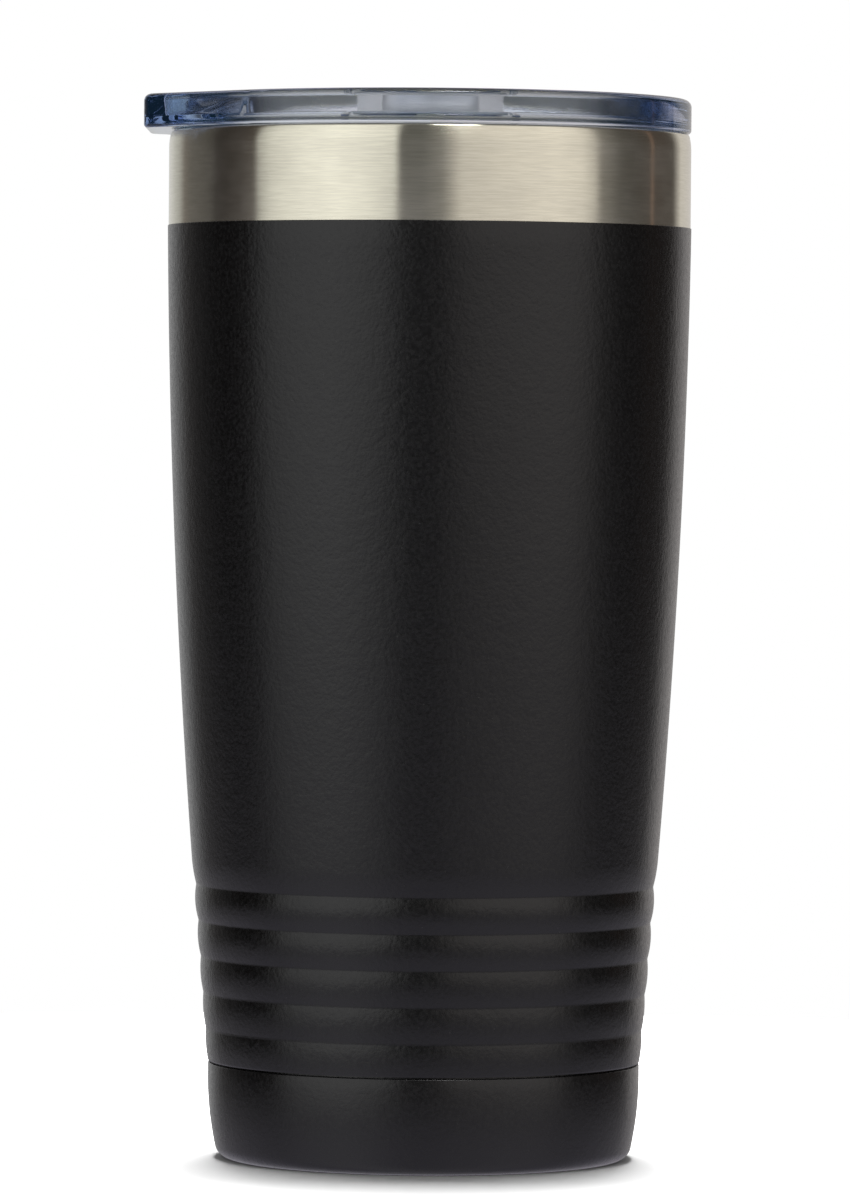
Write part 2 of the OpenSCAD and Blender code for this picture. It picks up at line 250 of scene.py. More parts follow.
def turned(name, outline, closed=True):
    """A piece turned about Z from an outline of (radius, height); an end on the axis closes in a point."""
    bm = bmesh.new()
    loops = []
    for r, z in outline:
        if r < 1e-6:
            loops.append([bm.verts.new((0, 0, z))])
        else:
            angles = [2 * math.pi * i / SEGMENTS for i in range(SEGMENTS)]
            loops.append([bm.verts.new((r * math.cos(a), r * math.sin(a), z)) for a in angles])
    pairs = list(zip(loops, loops[1:]))
    if closed:
        pairs.append((loops[-1], loops[0]))
    for a, b in pairs:
        if len(a) == len(b) == 1:
            continue
        if len(a) > 1 and len(b) > 1:
            bridge(bm, a, b)
            continue
        tip, ring = (a[0], b) if len(a) == 1 else (b[0], a)
        for i in range(len(ring)):
            bm.faces.new((ring[i], ring[(i + 1) % len(ring)], tip))
    return smooth_piece(name, bm)


def lofted(loops):
    """A closed bmesh through loops of (x, y, z) with the same count, capped at both ends."""
    bm = bmesh.new()
    rings = [[bm.verts.new(p) for p in loop] for loop in loops]
    for a, b in zip(rings, rings[1:]):
        bridge(bm, a, b)
    bm.faces.new(list(reversed(rings[0])))
    bm.faces.new(rings[-1])
    return bm


def rounded(cx, cy, w, h, r, grow=0.0, n=8):
    """Outline of a rounded rectangle about (cx, cy), moved outwards by grow."""
    w, h, r = w + 2 * grow, h + 2 * grow, max(r + grow, 0.02)
    points = []
    for sx, sy, start in ((1, 1, 0), (-1, 1, 90), (-1, -1, 180), (1, -1, 270)):
        points += arc(cx + sx * (w / 2 - r), cy + sy * (h / 2 - r), r, start, start + 90, n)
    return points


def block(cx, cy, w, h, r, levels, n=8):
    """A rounded block lofted through (height, grow) levels."""
    return lofted([[(x, y, z) for x, y in rounded(cx, cy, w, h, r, grow, n)] for z, grow in levels])


def soft_levels(low, high, edge, n=4):
    """Levels of a block whose upper and lower edges are rounded."""
    levels = [(low + edge * (1 - math.cos(math.pi / 2 * k / n)),
               -edge * (1 - math.sin(math.pi / 2 * k / n))) for k in range(n + 1)]
    upper = [(low + high - z, grow) for z, grow in reversed(levels)]
    return levels + upper


def carve(piece, bm, operation, turn=0.0):
    """Cuts a bmesh in millimetres out of the piece, or joins it on, turned about Z by degrees."""
    bmesh.ops.rotate(bm, matrix=Matrix.Rotation(math.radians(turn), 3, "Z"), verts=bm.verts)
    tool = smooth_piece("tool", bm)
    step = piece.modifiers.new("carve", "BOOLEAN")
    step.operation = operation
    step.solver = "EXACT"
    step.object = tool
    bpy.context.view_layer.update()
    result = piece.evaluated_get(bpy.context.evaluated_depsgraph_get())
    mesh = bpy.data.meshes.new_from_object(result)
    piece.modifiers.remove(step)
    old = piece.data
    piece.data = mesh
    mesh.name = piece.name
    bpy.data.meshes.remove(old)
    bpy.data.meshes.remove(tool.data)


def crisp(piece):
    """Marks the sharp edges again after carving."""
    bm = bmesh.new()
    bm.from_mesh(piece.data)
    bmesh.ops.remove_doubles(bm, verts=bm.verts, dist=1e-8)
    mark_edges(bm)
    bm.to_mesh(piece.data)
    bm.free()


# ---------------------------------------------------------------- the cup
def build_shell():
    """The outer wall: its curled lip, the bare band, the wall under the coat, and the neck inside the cap."""
    round_a = math.asin((RIM_Z - SHOULDER_Z - RIM_ROUND) / (SHOULDER_R - RIM_ROUND))
    centre = BAND_R - SHOULDER_R
    round_c = centre + (SHOULDER_R - RIM_ROUND) * math.cos(round_a)
    deg = math.degrees(round_a)
    lip = [(WELD_R, RIM_Z), (WELD_R + SUPPORT, RIM_Z)]
    lip += arc(round_c, RIM_Z - RIM_ROUND, RIM_ROUND, 90, deg)
    lip += arc(centre, SHOULDER_Z, SHOULDER_R, deg * 0.9, 0, 9)
    lip += [(BAND_R, z) for z in steps(SHOULDER_Z - 1, COAT_TOP_Z + 1, 6)]
    wall = [(coat_r(z) - COAT_T, z) for z in coat_heights()]
    neck_r = BASE_R - CAP_T - NECK_GAP
    neck = [(neck_r, SEAM_Z), (neck_r, NECK_END_Z), (neck_r - SHELL_T, NECK_END_Z),
            (neck_r - SHELL_T, SEAM_Z + SHELL_T)]
    inner = [(r - SHELL_T, z) for r, z in reversed(wall) if z > SEAM_Z + SHELL_T]
    under_lip = RIM_Z - SHELL_T - 0.05
    inner += [(BAND_R - SHELL_T, SHOULDER_Z), (round_c, under_lip), (WELD_R, under_lip)]
    return turned("steel_shell", lip + wall + neck + inner)


def build_coat():
    """The film: its upper edge is slightly rounded where the masking was pulled off."""
    edge = 0.1
    heights = coat_heights()
    low_z = SEAM_Z + SUPPORT
    outer = [(coat_r(z), z) for z in heights if low_z < z < COAT_TOP_Z - edge]
    top = arc(coat_r(COAT_TOP_Z) - edge, COAT_TOP_Z - edge, edge, 90, 0, 4)
    low = [(coat_r(low_z), low_z), (coat_r(SEAM_Z) - 0.05, SEAM_Z)]
    inner = [(coat_r(z) - COAT_T, z) for z in reversed(heights)]
    return turned("coat_film", top + outer + low + inner)


def cap_curve(z):
    return BASE_R - (COLLAR_Z - z) ** 2 / (2 * CAP_CURVE_R)


def build_cap():
    """The base cap: straight collar, long curve, foot radius, flat foot ring and the recess inside it."""
    lean = math.radians(8)
    for _ in range(12):
        lean = math.asin((COLLAR_Z - FOOT_R * (1 - math.sin(lean))) / CAP_CURVE_R)
    curve_end = FOOT_R * (1 - math.sin(lean))
    foot_c = cap_curve(curve_end) - FOOT_R * math.cos(lean)
    ring_in = foot_c - FOOT_RING_W
    outer = arc(BASE_R - 0.2, CAP_TOP_Z - 0.2, 0.2, 90, 0, 4)
    outer += [(cap_curve(z), z) for z in steps(COLLAR_Z, curve_end, 20)]
    outer += arc(foot_c, FOOT_R, FOOT_R, -math.degrees(lean), -90, 16)[1:]
    under = soften([(foot_c - 0.2, 0), (ring_in, 0, 0.5), (ring_in - FOOT_RECESS, FOOT_RECESS, 0.5),
                    (ring_in - 4, FOOT_RECESS)])
    under += [(0, FOOT_RECESS)]
    inside = [(0, FOOT_RECESS + CAP_T), (ring_in, FOOT_RECESS + CAP_T), (ring_in + FOOT_RECESS, CAP_T)]
    inside += list(reversed(arc(foot_c, FOOT_R, FOOT_R - CAP_T, -math.degrees(lean), -90)))
    inside += [(BASE_R - CAP_T, CAP_WALL_Z), (BASE_R - CAP_T, CAP_TOP_Z)]
    return turned("bottom_cap", outer + under + inside)


def liner_r(z):
    return wall_r(z) - COAT_T - WALL_GAP


def build_liner():
    """The inner wall, with its lip rolled outwards to the weld."""
    wall = [(LINER_R, RIM_Z - RIM_ROUND), (LINER_R, RIM_Z - 1)]
    wall += [(liner_r(z), z) for z in steps(COAT_TOP_Z, LINER_END_Z, 48)]
    outer = [(r + LINER_T, z) for r, z in reversed(wall[1:])]
    lip = [(LINER_R + RIM_ROUND, RIM_Z - LINER_T), (WELD_R, RIM_Z - LINER_T), (WELD_R, RIM_Z)]
    lip += arc(LINER_R + RIM_ROUND, RIM_Z - RIM_ROUND, RIM_ROUND, 90, 180)[:-1]
    return turned("cup_liner", outer + lip + wall)


def build_liner_bottom():
    """The floor of the cup with its round corner, up to the liner's end."""
    end_r = liner_r(LINER_END_Z)
    centre = end_r - FLOOR_CORNER_R
    corner_z = FLOOR_Z + FLOOR_CORNER_R
    top = [(0, FLOOR_Z), (centre - 0.5, FLOOR_Z)] + arc(centre, corner_z, FLOOR_CORNER_R, -90, 0, 16)
    edge = [(end_r, LINER_END_Z), (end_r + LINER_T, LINER_END_Z)]
    under = arc(centre, corner_z, FLOOR_CORNER_R + LINER_T, 0, -90, 16) + [(0, FLOOR_Z - LINER_T)]
    return turned("cup_floor", top + edge + under, closed=False)


# ---------------------------------------------------------------- the lid
ARC_N, SIDE_N, CORNER_N, END_N = 110, 14, 12, 10


def mirrored(half):
    """The whole outline from its half at +Y, whose ends lie on the X axis."""
    return half + [(x, -y) for x, y in reversed(half[1:-1])]


def flange_outline(inset, end_wall=0.0):
    """The flange's outline with its thumb tab, moved in by inset, and by end_wall more at the tab's end."""
    r = BAND_R - inset
    corner_r = max(TAB_CORNER - inset, 0.6)
    back = inset + corner_r - TAB_CORNER
    cx = TAB_CORNER - TAB_REACH + back + end_wall
    cy = TAB_HALF - (back * (1 + math.cos(TAB_LEAN)) + end_wall * math.cos(TAB_LEAN)) / math.sin(TAB_LEAN)
    half = [(r * math.cos(TAB_LEAN * i / ARC_N), r * math.sin(TAB_LEAN * i / ARC_N))
            for i in range(ARC_N + 1)]
    turn = arc(cx, cy, corner_r, math.degrees(TAB_LEAN), 180, CORNER_N)
    (ax, ay), (bx, by) = half[-1], turn[0]
    half += [(ax + (bx - ax) * i / SIDE_N, ay + (by - ay) * i / SIDE_N) for i in range(1, SIDE_N)]
    half += turn
    ex, ey = turn[-1]
    half += [(ex, ey * (1 - i / END_N)) for i in range(1, END_N + 1)]
    return mirrored(half)


def circle_outline(r):
    """A circle with the same count of points as the flange outline."""
    rest = SIDE_N + CORNER_N + END_N
    angles = [TAB_LEAN * i / ARC_N for i in range(ARC_N + 1)]
    angles += [TAB_LEAN + (math.pi - TAB_LEAN) * i / rest for i in range(1, rest + 1)]
    return mirrored([(r * math.cos(a), r * math.sin(a)) for a in angles])


def build_lid():
    """The lid in one loft from the dish over the rim to the plug, then its rails, slots and vent."""
    dish = soften([(30, LID_FLOOR_TOP), (RECESS_FLOOR_R, LID_FLOOR_TOP, 0.6), (KNEE_R, KNEE_Z, 0.4),
                   (POCKET_R, POCKET_Z - 0.02)])
    wall = soften([(BAND_R - POCKET_R, POCKET_Z), (BAND_R - RECESS_TOP_R, TOTAL_H, 0.35),
                   (TOP_LAND, TOTAL_H)])
    rim = [(EDGE_R + SUPPORT, TOTAL_H)]
    rim += [(EDGE_R - EDGE_R * math.sin(a), TOTAL_H - EDGE_R * (1 - math.cos(a)))
            for a in steps(0, math.pi / 2, 8)]
    rim += [(0, TOTAL_H - EDGE_R - SUPPORT), (0, FLANGE_Z + LOW_EDGE_R + SUPPORT)]
    rim += [(LOW_EDGE_R * (1 - math.cos(a)), FLANGE_Z + LOW_EDGE_R * (1 - math.sin(a)))
            for a in steps(0, math.pi / 2, 8)]
    rim += [(LOW_EDGE_R + SUPPORT, FLANGE_Z)]
    plug = soften([
        (40.6, FLANGE_Z), (PLUG_UPPER_R, FLANGE_Z, 0.3), (PLUG_UPPER_R, GROOVE_HIGH, 0.12),
        (GROOVE_R, GROOVE_HIGH, 0.12), (GROOVE_R, GROOVE_LOW, 0.12), (PLUG_LOWER_R, GROOVE_LOW, 0.15),
        (PLUG_LOWER_R, PLUG_Z + 1, 0.5), (PLUG_LOWER_R - 0.5, PLUG_Z, 0.4), (PLUG_IN_R, PLUG_Z, 0.5),
        (PLUG_IN_R, LID_FLOOR_UNDER, 1.2), (30, LID_FLOOR_UNDER)])
    loops = [[(x, y, z) for x, y in circle_outline(r)] for r, z in dish]
    loops += [[(x, y, z) for x, y in flange_outline(d, POCKET_END)] for d, z in wall[:-1]]
    loops += [[(x, y, z) for x, y in flange_outline(d)] for d, z in rim]
    loops += [[(x, y, z) for x, y in circle_outline(r)] for r, z in plug]
    lid = smooth_piece("clear_lid", lofted(loops))

    soft = soft_levels(LID_FLOOR_TOP - 1, LID_FLOOR_TOP + RAIL_H, 0.25)
    levels = [(LID_FLOOR_TOP - 0.3, 0)] + soft[len(soft) // 2:]
    rail_mid, rail_l = (RAIL_START + RAIL_END) / 2, RAIL_END - RAIL_START
    for side in (-1, 1):
        y = side * (PLATE_W / 2 + RAIL_GAP + RAIL_W / 2)
        carve(lid, block(rail_mid, y, rail_l, RAIL_W, 0.55, levels, 4), "UNION", SLIDE_TURN)
    through = [(LID_FLOOR_UNDER - 1, 0.3), (LID_FLOOR_UNDER, 0.3), (LID_FLOOR_UNDER + 0.3, 0),
               (LID_FLOOR_TOP - 0.45, 0), (LID_FLOOR_TOP, 0.4), (LID_FLOOR_TOP + 1, 0.4)]
    carve(lid, block(SLOT_X, 0, SLOT_W, SLOT_L, SLOT_W / 2 - 0.5, through), "DIFFERENCE", SLIDE_TURN)
    plain = [(LID_FLOOR_UNDER - 1, 0), (LID_FLOOR_TOP + 1, 0)]
    guide_l = LEG_SPAN + 2 * GUIDE_CLEAR + TRAVEL
    carve(lid, block(TRAVEL / 2, 0, guide_l, LEG_W + 2 * GUIDE_CLEAR, 0.4, plain, 3), "DIFFERENCE",
          SLIDE_TURN)
    carve(lid, block(VENT_X, 0, 2 * VENT_R, 2 * VENT_R, VENT_R, plain), "DIFFERENCE", SLIDE_TURN)
    crisp(lid)
    return lid


def build_gasket():
    """The ring in the plug's groove, with two ribs towards the liner."""
    low, high = GROOVE_LOW + 0.15, GROOVE_HIGH - 0.15
    inner, body, tip = GROOVE_R + 0.3, LINER_R - 0.6, LINER_R - 0.1
    corners = [(inner, (low + high) / 2), (inner, low, 0.15), (body, low, 0.2)]
    for centre in (low + (high - low) / 4, high - (high - low) / 4):
        corners += [(body, centre - 0.55, 0.15), (tip, centre, 0.3), (body, centre + 0.55, 0.15)]
    corners += [(body, high, 0.2), (inner, high, 0.15), (inner, (low + high) / 2 + 0.1)]
    return turned("seal_ring", soften(corners))


def build_slider():
    """The plate with its grooved thumb ridge, and four prongs whose hooks hold it in the guide slot."""
    top = PLATE_Z + PLATE_T
    levels = soft_levels(PLATE_Z, top, 0.35)
    plate = smooth_piece("slide_cover", block(0, 0, PLATE_L, PLATE_W, 5, levels, 10))
    ridge = [(top - 0.3, 0.25), (top, 0.25), (top + 0.12, 0.1), (top + 0.3, 0)]
    ridge += [(z, g) for z, g in soft_levels(top - 1, top + RIDGE_H, 0.5) if z > top + 0.4]
    carve(plate, block(RIDGE_X, 0, RIDGE_L, RIDGE_W, 2, ridge), "UNION")
    groove_r, groove_pitch = 0.6, 1.6
    groove_z = top + RIDGE_H + 0.2
    around = steps(0, 2 * math.pi * 23 / 24, 23)
    for i in (-1, 0, 1):
        middle = RIDGE_X + groove_pitch * i
        groove = lofted([[(middle + groove_r * math.cos(a), y, groove_z + groove_r * math.sin(a))
                          for a in around] for y in (-RIDGE_W, RIDGE_W)])
        carve(plate, groove, "DIFFERENCE")
    barb_top = LID_FLOOR_UNDER - 0.15
    prong_w = (LEG_W - LEG_SPLIT) / 2
    for end in (-1, 1):
        x = end * (LEG_SPAN - LEG_L) / 2
        for side in (-1, 1):
            y = side * (LEG_SPLIT + prong_w) / 2
            stem = [(barb_top - BARB_H + 0.3, 0), (PLATE_Z + 0.4, 0)]
            carve(plate, block(x, y, LEG_L, prong_w, 0.2, stem, 3), "UNION")
            barb_w = (BARB_W - LEG_SPLIT) / 2
            hook = [(barb_top - BARB_H, -0.25), (barb_top - 0.25, 0), (barb_top, 0)]
            carve(plate, block(x, side * (LEG_SPLIT + barb_w) / 2, LEG_L, barb_w, 0.2, hook, 3), "UNION")
    plate.data.transform(Matrix.Rotation(math.radians(SLIDE_TURN), 4, "Z"))
    crisp(plate)
    return plate


# ---------------------------------------------------------------- materials
class Recipe:
    """A node material with one Principled shader, and short calls to add nodes to it."""

    def __init__(self, name, **sockets):
        self.material = bpy.data.materials.new(name)
        self.material.use_nodes = True
        self.tree = self.material.node_tree
        self.shader = self.tree.nodes["Principled BSDF"]
        for socket, value in sockets.items():
            self.shader.inputs[socket.replace("_", " ")].default_value = value
        self.place = self.add("ShaderNodeTexCoord").outputs["Object"]

    def add(self, kind, settings=None, **inputs):
        node = self.tree.nodes.new(kind)
        for key, value in (settings or {}).items():
            setattr(node, key, value)
        for key, value in inputs.items():
            self.feed(value, node.inputs[int(key[1:]) if key[0] == "i" and key[1:].isdigit() else key])
        return node

    def feed(self, value, socket):
        if isinstance(value, bpy.types.NodeSocket):
            self.tree.links.new(value, socket)
        else:
            socket.default_value = value

    def stretched(self, x, y, z):
        """The object's coordinates with a scale of their own on each axis, in features per metre."""
        node = self.add("ShaderNodeMapping", Vector=self.place)
        node.inputs["Scale"].default_value = (x, y, z)
        return node.outputs["Vector"]

    def noise(self, vector, scale=1.0, detail=2.0, roughness=0.5):
        node = self.add("ShaderNodeTexNoise", Vector=vector, Scale=scale, Detail=detail, Roughness=roughness)
        return node.outputs["Fac"]

    def ranged(self, value, low, high, to_low, to_high):
        node = self.add("ShaderNodeMapRange", {"clamp": True}, Value=value)
        for key, number in (("From Min", low), ("From Max", high), ("To Min", to_low), ("To Max", to_high)):
            node.inputs[key].default_value = number
        return node.outputs["Result"]

    def maths(self, operation, a, b=0.0):
        return self.add("ShaderNodeMath", {"operation": operation}, i0=a, i1=b).outputs[0]

    def product(self, *values):
        total = values[0]
        for value in values[1:]:
            total = self.maths("MULTIPLY", total, value)
        return total

    def band(self, value, start, full, fall, end):
        """1 from full to fall, 0 before start and past end; the limits are in millimetres."""
        return self.product(self.ranged(value, start * MM, full * MM, 0.0, 1.0),
                            self.ranged(value, fall * MM, end * MM, 1.0, 0.0))

    def mixed(self, factor, a, b):
        node = self.add("ShaderNodeMix", {"data_type": "RGBA"}, i0=factor)
        self.feed(a, node.inputs[6])
        self.feed(b, node.inputs[7])
        return node.outputs[2]

    def bump(self, height, strength, distance, normal=None):
        node = self.add("ShaderNodeBump", Height=height, Strength=strength, Distance=distance)
        if normal is not None:
            self.feed(normal, node.inputs["Normal"])
        return node.outputs["Normal"]

    def shade(self, **sockets):
        for socket, value in sockets.items():
            self.feed(value, self.shader.inputs[socket.replace("_", " ")])
        return self.material


def brushed_steel(name, roughness, lines=1.0):
    """Stainless steel brushed round the axis: long fine scratches and faint cloudiness."""
    steel = Recipe(name, Metallic=1.0, Anisotropic=1.0, Anisotropic_Rotation=0.25)
    fine = steel.noise(steel.stretched(230, 230, 4200), detail=2, roughness=0.6)
    broad = steel.noise(steel.stretched(90, 90, 1800), detail=2)
    cloud = steel.noise(steel.stretched(120, 120, 160), detail=3)
    grain = steel.maths("ADD", steel.product(fine, 0.75), steel.product(broad, 0.25))
    light = (0.88, 0.85, 0.70, 1)
    dark = (0.80, 0.77, 0.63, 1)
    tangent = steel.add("ShaderNodeTangent", {"direction_type": "RADIAL", "axis": "Z"})
    steel.tree.links.new(tangent.outputs["Tangent"], steel.shader.inputs["Tangent"])
    return steel.shade(
        Base_Color=steel.mixed(steel.ranged(grain, 0.38, 0.62, 0, 1), dark, light),
        Roughness=steel.ranged(cloud, 0.3, 0.7, roughness - 0.03, roughness + 0.04),
        Normal=steel.bump(grain, 0.18 * lines, 0.00004))


def powder_black(name, roughness, peel, colour):
    """Black coat with the fine pebbles of orange peel, painted shade that leaves their crests a little paler,
    and rare paler specks.
    """
    coat = Recipe(name, IOR=1.53)
    pebble = coat.noise(coat.place, scale=1700, detail=1.5, roughness=0.45)
    swell = coat.noise(coat.place, scale=520, detail=1)
    grit = coat.noise(coat.place, scale=7000, detail=1)
    tone = coat.noise(coat.place, scale=90, detail=3)
    speck = coat.ranged(coat.noise(coat.place, scale=2600, detail=0), 0.84, 0.88, 0, 1)
    # painted shade: pebble crests a little paler than the hollows between them, mixed with random tone
    painted_peel_shade = coat.ranged(coat.maths("ADD", pebble, coat.product(tone, 0.3)), 0.45, 0.85, 0, 1)
    body = coat.mixed(painted_peel_shade, colour, tuple(c + 0.004 for c in colour[:3]) + (1,))
    skin = coat.bump(swell, 0.3 * peel, 0.00012)
    skin = coat.bump(grit, 0.4, 0.00002, skin)
    return coat.shade(
        Base_Color=coat.mixed(coat.product(speck, 0.35), body, (0.08, 0.08, 0.08, 1)),
        Roughness=coat.ranged(pebble, 0.3, 0.7, roughness - 0.05, roughness + 0.05),
        Normal=coat.bump(pebble, 0.9 * peel, 0.000035, skin))


PLASTIC_TINT = (0.985, 0.99, 1.0, 1)


def painted_lid_shade(clear):
    """Painted shade in the lid's walls: pale blue over the tab, navy deepening at both sides, a dark line
    round the top.

    It is laid on by place, standing in for the dark surroundings and long ways through tinted plastic that a
    view from the front sees there.
    """
    x, y, z = clear.add("ShaderNodeSeparateXYZ", Vector=clear.place).outputs
    radius = clear.maths("SQRT", clear.maths("ADD", clear.product(x, x), clear.product(y, y)))
    swirl = clear.noise(clear.stretched(160, 160, 420), detail=2)
    # painted shade: a dark line round the top edge of the lid
    painted_brim_height = clear.ranged(z, (TOTAL_H - 0.5) * MM, (TOTAL_H - 0.12) * MM, 0.0, 1.0)
    painted_brim_shade = clear.product(painted_brim_height, clear.ranged(radius, 41.2 * MM, 41.6 * MM, 0.0, 1.0))
    # painted shade: navy inside the walls at both sides, varied by a swirl
    side = clear.ranged(clear.maths("ABSOLUTE", x), 25.5 * MM, 30.5 * MM, 0.0, 1.0)
    painted_side_shade = clear.product(side, clear.band(radius, 35.0, 35.6, 41.8, 42.0),
                         clear.ranged(swirl, 0.35, 0.6, 0.55, 1.0))
    # painted shade: navy in the outer wall towards +X, under its top edge
    outer = clear.product(clear.band(x, 29.0, 34.5, 39.3, 39.5),
                          clear.ranged(radius, 42.2 * MM, 42.4 * MM, 0.0, 1.0),
                          clear.ranged(z, (TOTAL_H - 0.9) * MM, (TOTAL_H - 0.4) * MM, 1.0, 0.0),
                          clear.ranged(swirl, 0.35, 0.6, 0.5, 1.0))
    # painted shade: pale blue over the thumb tab
    tab = clear.ranged(x, -40 * MM, -32 * MM, 1.0, 0.0)
    body = clear.mixed(tab, PLASTIC_TINT, (0.60, 0.72, 0.86, 1))
    body = clear.mixed(painted_side_shade, body, (0.045, 0.085, 0.19, 1))
    body = clear.mixed(outer, body, (0.10, 0.18, 0.36, 1))
    return clear.mixed(painted_brim_shade, body, (0.10, 0.08, 0.14, 1))


def clear_plastic(name, blue, scuff, satin=0.012, shade_painter=None):
    """Clear moulded plastic: faint blue in its body, flow waves, hairline scuffs, and a faint painted glow
    for light scattered inside it.
    """
    # The emission is a faint cyan painted glow standing in for light scattered inside the plastic.
    clear = Recipe(name, Base_Color=PLASTIC_TINT, IOR=1.57, Transmission_Weight=1.0,
                   Emission_Color=(0.24, 0.85, 1.0, 1), Emission_Strength=0.0024)
    flow = clear.noise(clear.place, scale=110, detail=1)
    hair = clear.noise(clear.stretched(900, 900, 5000), detail=2)
    wear = clear.ranged(clear.noise(clear.place, scale=240, detail=4), 0.52, 0.72, 0.0, scuff)
    absorb = clear.add("ShaderNodeVolumeAbsorption", Density=blue)
    absorb.inputs["Color"].default_value = (0.25, 0.45, 0.82, 1)
    out = clear.tree.nodes["Material Output"]
    clear.tree.links.new(absorb.outputs["Volume"], out.inputs["Volume"])
    skin = clear.bump(flow, 0.12, 0.00012)
    # The function given here lays painted shade into the base colour by place.
    if shade_painter:
        clear.shade(Base_Color=shade_painter(clear))
    hairlines = clear.bump(hair, 0.03, 0.00002, skin)
    return clear.shade(Roughness=clear.maths("ADD", wear, satin), Normal=hairlines)


def silicone(name):
    """Translucent warm-white silicone with a dusting of fine lint."""
    rubber = Recipe(name, IOR=1.41, Transmission_Weight=0.25)
    dust = rubber.noise(rubber.place, scale=900, detail=3)
    tone = rubber.mixed(dust, (0.78, 0.76, 0.69, 1), (0.88, 0.86, 0.79, 1))
    return rubber.shade(Base_Color=tone, Roughness=rubber.ranged(dust, 0.3, 0.7, 0.32, 0.45),
                        Normal=rubber.bump(dust, 0.15, 0.00003))


def plain_metal(name, colour, roughness, scale):
    """Sheet, foil or sintered metal inside the wall: mottled tone and a fine crumple."""
    metal = Recipe(name, Metallic=1.0)
    mottle = metal.noise(metal.place, scale=scale, detail=4)
    dark = tuple(0.75 * c for c in colour) + (1,)
    return metal.shade(Base_Color=metal.mixed(mottle, dark, colour + (1,)),
                       Roughness=metal.ranged(mottle, 0.3, 0.7, roughness - 0.06, roughness + 0.08),
                       Normal=metal.bump(mottle, 0.3, 0.0001))


def fused_glass(name):
    """The dark green glass bead, with a faint swirl in its colour."""
    bead = Recipe(name, IOR=1.52, Roughness=0.12)
    swirl = bead.noise(bead.place, scale=600, detail=2)
    return bead.shade(Base_Color=bead.mixed(swirl, (0.05, 0.09, 0.07, 1), (0.12, 0.18, 0.15, 1)))


def dress(piece, material):
    piece.data.materials.clear()
    piece.data.materials.append(material)
    return piece


# ---------------------------------------------------------------- studio
# Light at eye level round the object: degrees from the camera, + to the right, its level and its warmth.
# The levels come from the brightness measured in the photo along the steel band, over the steel's own
# reflectance, then rounded and adjusted.
STUDIO = [
    (-180, 0.66, 0.0), (-160, 0.60, 0.0), (-146, 0.40, 0.0), (-138, 0.16, 0.2), (-131, 0.11, 0.1),
    (-114, 0.065, 0.1), (-108, 0.022, 0.3), (-92, 0.04, 0.3), (-83.5, 0.07, 0.3), (-81, 0.49, 0.0),
    (-74, 0.78, 0.0), (-60, 0.94, 0.0), (-42, 1.045, 0.0), (-26, 0.95, 0.0), (-15.5, 0.83, 0.0),
    (-13, 0.11, 0.0), (-3, 0.11, 0.0), (5, 0.17, 0.05), (9, 0.36, 0.1), (14, 0.66, 0.1),
    (30, 0.79, 0.1), (58, 0.865, 0.1), (70, 0.79, 0.1), (77, 0.58, 0.1), (81, 0.20, 0.1),
    (92, 0.09, 0.1), (101, 0.065, 0.15), (114, 0.06, 0.3), (115.5, 0.22, 0.8), (117, 0.06, 0.4),
    (136, 0.06, 0.3), (146, 0.58, 0.1),
]
# The same a little under eye level, worked out in the same way from the gloss on the tapering black body
LOW_STUDIO = [
    (-180, 0.66, 0.0), (-160, 0.60, 0.0), (-146, 0.40, 0.0), (-138, 0.15, 0.1), (-125, 0.11, 0.1),
    (-112, 0.06, 0.1), (-103, 0.03, 0.1), (-92, 0.05, 0.1), (-83.5, 0.11, 0.1), (-80, 0.36, 0.0),
    (-72, 0.64, 0.0), (-58, 0.95, 0.0), (-42, 1.13, 0.0), (-31, 0.88, 0.0), (-21, 0.52, 0.0),
    (-12, 0.13, 0.0), (-3, 0.10, 0.0), (6, 0.10, 0.05), (14, 0.27, 0.1), (28, 0.43, 0.1),
    (44, 0.62, 0.1), (58, 0.70, 0.1), (70, 0.58, 0.1), (77, 0.42, 0.1), (83, 0.20, 0.1),
    (94, 0.07, 0.1), (106, 0.05, 0.1), (118, 0.07, 0.2), (136, 0.13, 0.1), (146, 0.58, 0.1),
]
BELOW = 0.20        # share of it that still comes from far under eye level
NEAR_GLOW = (0.27, 0.26, 0.285, 1)    # what the pale table adds a little under eye level
FAR_GLOW = (0.43, 0.41, 0.49, 1)      # and what it adds from further down
CEILING = 0.22      # level of the rest of the room overhead
# Where one level fades into the next, in degrees of height from and to
EYE_FADE, GLOW_FADE, FAR_FADE, ROOF_FADE = (-3.6, -1.6), (-12, -4), (-26, -9), (40, 52)
# The softbox above: degrees to the right, degrees up, its half-width in degrees, its level
KEY_AZIMUTH, KEY_HEIGHT, KEY_SIZE, KEY_LEVEL = 17.0, 60.0, 9.0, 9.0
ROOM_FILL = 0.25    # what the room adds to matt surfaces


def paint_seam_shade(shell):
    """The shell below the seam takes the black coat as painted shade, so the seam shows as a dark line."""
    shell.data.materials.append(COAT)
    for face in shell.data.polygons:
        if face.center.z < (SEAM_Z + 0.02) * MM:
            face.material_index = 1


